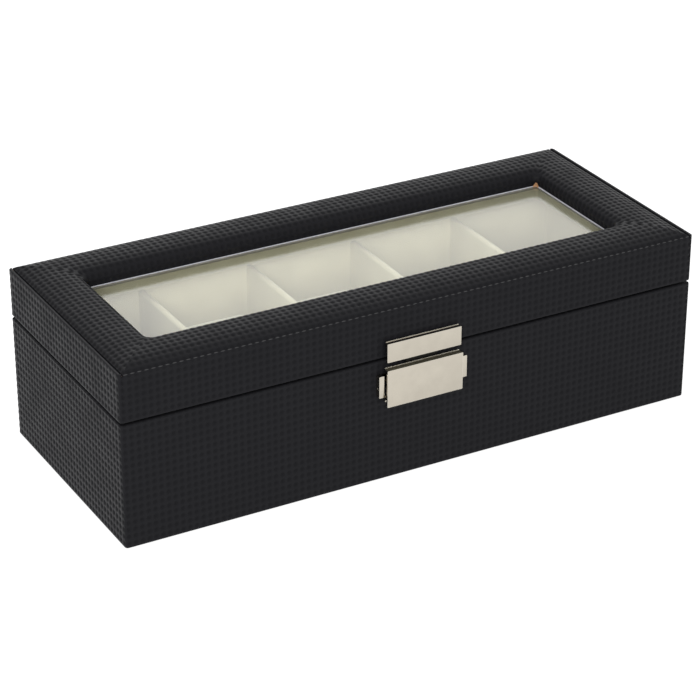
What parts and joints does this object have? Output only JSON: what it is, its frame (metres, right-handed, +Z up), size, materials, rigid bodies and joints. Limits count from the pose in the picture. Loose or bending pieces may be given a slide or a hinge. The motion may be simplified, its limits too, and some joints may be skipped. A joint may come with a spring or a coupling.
{
  "type": "watch box",
  "caption": "Long rectangular watch box in embossed leatherette, with a padded glass-window lid on rear hinges, velvet-lined slots and a sprung press latch.",
  "frame": {"origin": "middle of the underside of the base, on the surface the box stands on", "axes": "+X along the box to the right, -Y out of the front with the latch, +Z up; the lid is shut"},
  "size_m": [0.285, 0.1254, 0.0852],
  "materials": {
    "leatherette": "black, embossed with a square grid of dimples, satin",
    "velvet": "cream velvet, short pile",
    "felt": "black felt",
    "board": "raw fibreboard",
    "foam": "open-cell foam",
    "glass": "clear float glass with ground edges",
    "nickel": "polished warm nickel plate",
    "dark_steel": "oiled dark steel"
  },
  "bodies": {
    "base": {"base_felt": "felt", "base_bottom_board": "board", "base_front_board": "board", "base_back_board": "board", "base_left_board": "board", "base_right_board": "board", "base_cover": "leatherette", "lining_front": "velvet", "lining_back": "velvet", "lining_left": "velvet", "lining_right": "velvet", "floor_pad": "velvet", "divider_1": "velvet", "divider_2": "velvet", "divider_3": "velvet", "divider_4": "velvet", "pillow_1": "velvet", "pillow_2": "velvet", "pillow_3": "velvet", "pillow_4": "velvet", "pillow_5": "velvet", "latch_backplate": "nickel", "latch_pin": "dark_steel", "latch_screws": "dark_steel", "hinge_base_leaf_left": "nickel", "hinge_base_leaf_right": "nickel", "hinge_pin_left": "nickel", "hinge_pin_right": "nickel", "hinge_base_screws": "nickel"},
    "lid": {"lid_front_board": "board", "lid_back_board": "board", "lid_left_board": "board", "lid_right_board": "board", "lid_top_board": "board", "foam_front": "foam", "foam_back": "foam", "foam_left": "foam", "foam_right": "foam", "lid_top_cover": "leatherette", "lid_side_cover": "leatherette", "glass_pane": "glass", "glass_spacer": "board", "lid_ceiling": "velvet", "lid_window_liner": "velvet", "lid_lining_front": "velvet", "lid_lining_back": "velvet", "lid_lining_left": "velvet", "lid_lining_right": "velvet", "latch_strike": "nickel", "latch_hook": "dark_steel", "latch_strike_studs": "dark_steel", "hinge_lid_leaf_left": "nickel", "hinge_lid_leaf_right": "nickel", "hinge_lid_screws": "nickel"},
    "lever": {"latch_lever": "nickel", "latch_spring": "dark_steel"}
  },
  "joints": [
    {"name": "lid_hinge", "type": "hinge", "parent": "base", "child": "lid", "pos_m": [0, 0.0606, 0.0593], "axis": [-1, 0, 0], "range_deg": [0, 95]},
    {"name": "latch_press", "type": "hinge", "parent": "base", "child": "lever", "pos_m": [0, -0.0601, 0.0465], "axis": [1, 0, 0], "range_deg": [0, 9], "stiffness_Nm_per_rad": 0.2, "springref_deg": -5.73}
  ]
}
